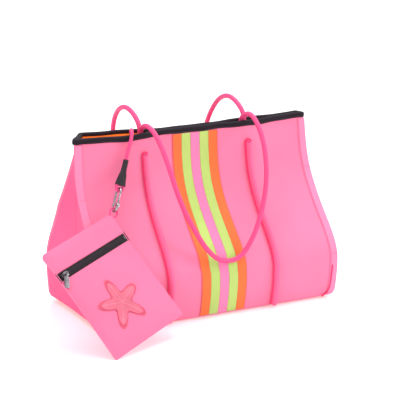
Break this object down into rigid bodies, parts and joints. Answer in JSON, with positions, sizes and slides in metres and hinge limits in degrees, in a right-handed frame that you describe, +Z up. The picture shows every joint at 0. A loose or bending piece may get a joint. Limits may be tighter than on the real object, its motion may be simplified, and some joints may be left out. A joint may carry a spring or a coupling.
{
  "type": "beach tote bag",
  "caption": "Soft neoprene beach tote with rope handles, contrast stripes, a magnetic mouth, and a zipped pouch that hangs from a corded snap hook.",
  "frame": {"origin": "centre of the bag's flat base, on the surface that it stands on", "axes": "+Z up, X along the bag's width, -Y the front panel"},
  "size_m": [0.5777, 0.3895, 0.3611],
  "materials": {
    "pink_neoprene": "matt knitted neoprene, bright pink",
    "gusset_neoprene": "matt knitted neoprene, bright pink",
    "hem_neoprene": "matt neoprene edge strip, stitched",
    "channel_neoprene": "matt neoprene sewn over rope",
    "pouch_neoprene": "matt knitted neoprene, pink",
    "lining_orange": "smooth orange jersey",
    "black_binding": "ribbed elastic tape, near black",
    "black_sleeve": "matt heat-shrunk sleeve, black",
    "rope_pink": "braided polyester cord, deep pink",
    "stripe_orange": "ribbed webbing, neon orange",
    "stripe_lime": "ribbed webbing, neon lime",
    "stripe_pink": "ribbed webbing, light pink",
    "hook_steel": "polished plated steel",
    "clasp_steel": "plated magnet shell",
    "snap_steel": "gunmetal snap",
    "zip_tape": "woven black zip tape",
    "zip_coil": "black nylon coil",
    "zip_metal": "gunmetal enamel",
    "emblem_felt": "satin-stitched embroidery, coral"
  },
  "bodies": {
    "bag": {"back_handle_roots": "rope_pink", "back_left_hem": "hem_neoprene", "back_left_rope_channel": "channel_neoprene", "back_panel": "pink_neoprene", "back_right_hem": "hem_neoprene", "back_right_rope_channel": "channel_neoprene", "back_stripe_lime_left": "stripe_lime", "back_stripe_lime_right": "stripe_lime", "back_stripe_orange_left": "stripe_orange", "back_stripe_orange_right": "stripe_orange", "back_stripe_pink_middle": "stripe_pink", "base_board": "lining_orange", "base_panel": "pink_neoprene", "channel_ropes": "rope_pink", "front_handle_roots": "rope_pink", "front_left_hem": "hem_neoprene", "front_left_rope_channel": "channel_neoprene", "front_panel": "pink_neoprene", "front_right_hem": "hem_neoprene", "front_right_rope_channel": "channel_neoprene", "front_stripe_lime_left": "stripe_lime", "front_stripe_lime_right": "stripe_lime", "front_stripe_orange_left": "stripe_orange", "front_stripe_orange_right": "stripe_orange", "front_stripe_pink_middle": "stripe_pink", "handle_patches": "pink_neoprene", "lanyard_eye": "rope_pink", "lanyard_rope": "rope_pink", "lanyard_sleeve": "black_sleeve", "lanyard_tab": "rope_pink", "left_gusset": "gusset_neoprene", "lining_back": "lining_orange", "lining_front": "lining_orange", "lining_left": "lining_orange", "lining_right": "lining_orange", "magnetic_clasp": "clasp_steel", "right_gusset": "gusset_neoprene", "rim_binding_back": "black_binding", "rim_binding_front": "black_binding", "rim_binding_left": "black_binding", "rim_binding_right": "black_binding", "side_snap_left": "snap_steel", "side_snap_right": "snap_steel"},
    "front_handle": {"front_handle_rope": "rope_pink"},
    "back_handle": {"back_handle_rope": "rope_pink"},
    "hook": {"hook_body": "hook_steel", "hook_pin": "hook_steel"},
    "gate": {"hook_gate": "hook_steel"},
    "pouch": {"pouch_back_panel": "pouch_neoprene", "pouch_top_band": "pouch_neoprene", "pouch_front_panel": "pouch_neoprene", "pouch_seam_tape": "pouch_neoprene", "pouch_loop": "rope_pink", "pouch_emblem": "emblem_felt", "zip_tapes": "zip_tape", "zip_teeth": "zip_coil", "zip_stops": "zip_metal"},
    "slider": {"zip_slider": "zip_metal"},
    "pull": {"zip_pull": "zip_metal"}
  },
  "joints": [
    {"name": "front_handle_swing", "type": "hinge", "parent": "bag", "child": "front_handle", "pos_m": [0, -0.01775, 0.338], "axis": [-1, 0, 0], "range_deg": [0, 100], "deforming": ["front_handle_roots"]},
    {"name": "back_handle_swing", "type": "hinge", "parent": "bag", "child": "back_handle", "pos_m": [0, 0.01575, 0.3425], "axis": [1, 0, 0], "range_deg": [0, 100], "deforming": ["back_handle_roots"]},
    {"name": "hook_swing", "type": "hinge", "parent": "bag", "child": "hook", "pos_m": [-0.17036, -0.05304, 0.23395], "axis": [0.9197, 0, -0.3926], "range_deg": [-30, 2.5]},
    {"name": "gate_hinge", "type": "hinge", "parent": "hook", "child": "gate", "pos_m": [-0.17872, -0.06576, 0.21436], "axis": [-0.9197, 0, 0.3926], "range_deg": [0, 22], "stiffness_Nm_per_rad": 0.02, "springref_deg": -11.46},
    {"name": "pouch_swing", "type": "hinge", "parent": "hook", "child": "pouch", "pos_m": [-0.18063, -0.0609, 0.20519], "axis": [-0.9816, -0.1908, 0], "range_deg": [0, 35]},
    {"name": "zip_slide", "type": "slide", "parent": "pouch", "child": "slider", "axis": [0.9088, 0.3521, 0.2237], "range_m": [0, 0.134]},
    {"name": "pull_swing", "type": "hinge", "parent": "slider", "child": "pull", "pos_m": [-0.31187, -0.15132, 0.13433], "axis": [-0.9638, 0.0212, 0.2658], "range_deg": [0, 150]}
  ]
}
